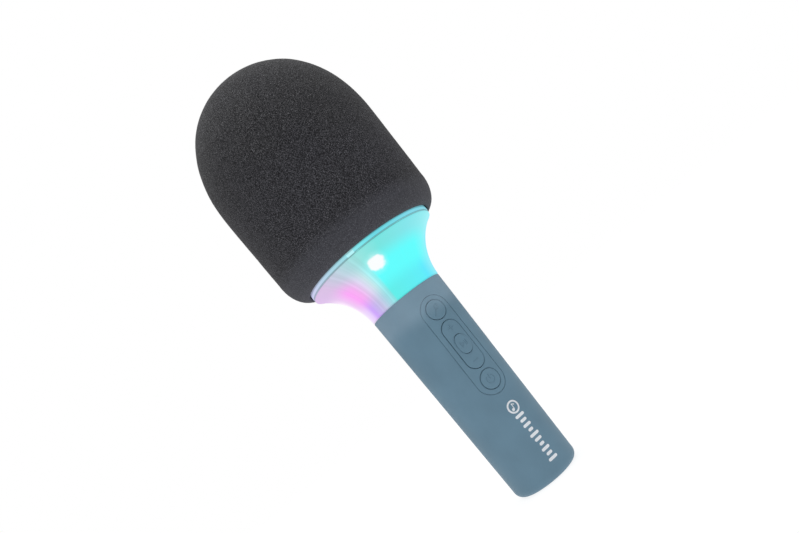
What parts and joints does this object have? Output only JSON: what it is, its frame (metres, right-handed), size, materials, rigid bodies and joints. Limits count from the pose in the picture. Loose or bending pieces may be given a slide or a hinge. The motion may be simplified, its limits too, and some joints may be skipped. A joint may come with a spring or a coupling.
{
  "type": "toy microphone",
  "caption": "Cordless toy karaoke microphone: tapered handle with a key strip, flared glowing neck and a large round foam head that pulls off.",
  "frame": {"origin": "centre of the flat round base, on the surface it stands on", "axes": "+Z along the handle to the foam head, -Y out of the key strip, +X to the right of the keys"},
  "size_m": [0.0892, 0.0892, 0.24],
  "materials": {
    "foam": "matte",
    "shell_blue": "matte",
    "key_blue": "matte",
    "diffuser": "satin",
    "ring": "satin",
    "white_plastic": "satin",
    "led": "gloss",
    "black_plastic": "matte",
    "steel": "satin",
    "ferrite": "matte",
    "cone_paper": "matte",
    "rubber": "matte",
    "board": "satin",
    "cell_wrap": "satin",
    "lead": "satin"
  },
  "bodies": {
    "microphone": {"handle_shell": "shell_blue", "button_bezel": "shell_blue", "base_screw": "steel", "main_board": "board", "board_screw_1": "steel", "board_screw_2": "steel", "radio_module": "steel", "audio_chip": "black_plastic", "voice_switch": "black_plastic", "volume_up_switch": "black_plastic", "mode_switch": "black_plastic", "volume_down_switch": "black_plastic", "power_switch": "black_plastic", "usb_socket": "steel", "electronics_carrier": "black_plastic", "core_screw_1": "steel", "core_screw_2": "steel", "battery_cell": "cell_wrap", "diffuser_neck": "diffuser", "neck_ring": "ring", "light_core": "white_plastic", "led_board": "white_plastic", "neck_screw_1": "steel", "neck_screw_2": "steel", "neck_screw_3": "steel", "led_1": "led", "led_2": "led", "led_3": "led", "led_4": "led", "led_5": "led", "led_6": "led", "head_chassis": "black_plastic", "speaker_frame": "steel", "speaker_magnet": "ferrite", "speaker_screw_1": "steel", "speaker_screw_2": "steel", "speaker_screw_3": "steel", "speaker_screw_4": "steel", "grille_basket": "black_plastic", "capsule_boot": "rubber", "mic_capsule": "steel", "battery_lead": "lead", "mic_lead": "lead", "speaker_lead": "lead", "led_lead": "lead"},
    "foam": {"foam_windscreen": "foam"},
    "cone": {"speaker_cone": "cone_paper"},
    "voice_key": {"voice_button": "key_blue", "voice_plunger": "white_plastic"},
    "volume_key": {"volume_rocker": "key_blue", "volume_up_plunger": "white_plastic", "volume_down_plunger": "white_plastic"},
    "mode_key": {"mode_button": "key_blue", "mode_plunger": "white_plastic"},
    "power_key": {"power_button": "key_blue", "power_plunger": "white_plastic"}
  },
  "joints": [
    {"name": "foam_pull", "type": "slide", "parent": "microphone", "child": "foam", "axis": [0, 0, 1], "range_m": [0, 0.115]},
    {"name": "cone_travel", "type": "slide", "parent": "microphone", "child": "cone", "axis": [0, 0, 1], "range_m": [-0.0008, 0.0008], "stiffness_N_per_m": 1200},
    {"name": "voice_press", "type": "slide", "parent": "microphone", "child": "voice_key", "axis": [0, 1, 0], "range_m": [0, 0.0005], "stiffness_N_per_m": 1500},
    {"name": "volume_tilt", "type": "hinge", "parent": "microphone", "child": "volume_key", "pos_m": [0, -0.0129, 0.0698], "axis": [1, 0, 0], "range_deg": [-2, 2], "stiffness_Nm_per_rad": 0.26},
    {"name": "mode_press", "type": "slide", "parent": "microphone", "child": "mode_key", "axis": [0, 1, 0], "range_m": [0, 0.0005], "stiffness_N_per_m": 1500},
    {"name": "power_press", "type": "slide", "parent": "microphone", "child": "power_key", "axis": [0, 1, 0], "range_m": [0, 0.0005], "stiffness_N_per_m": 1500}
  ]
}
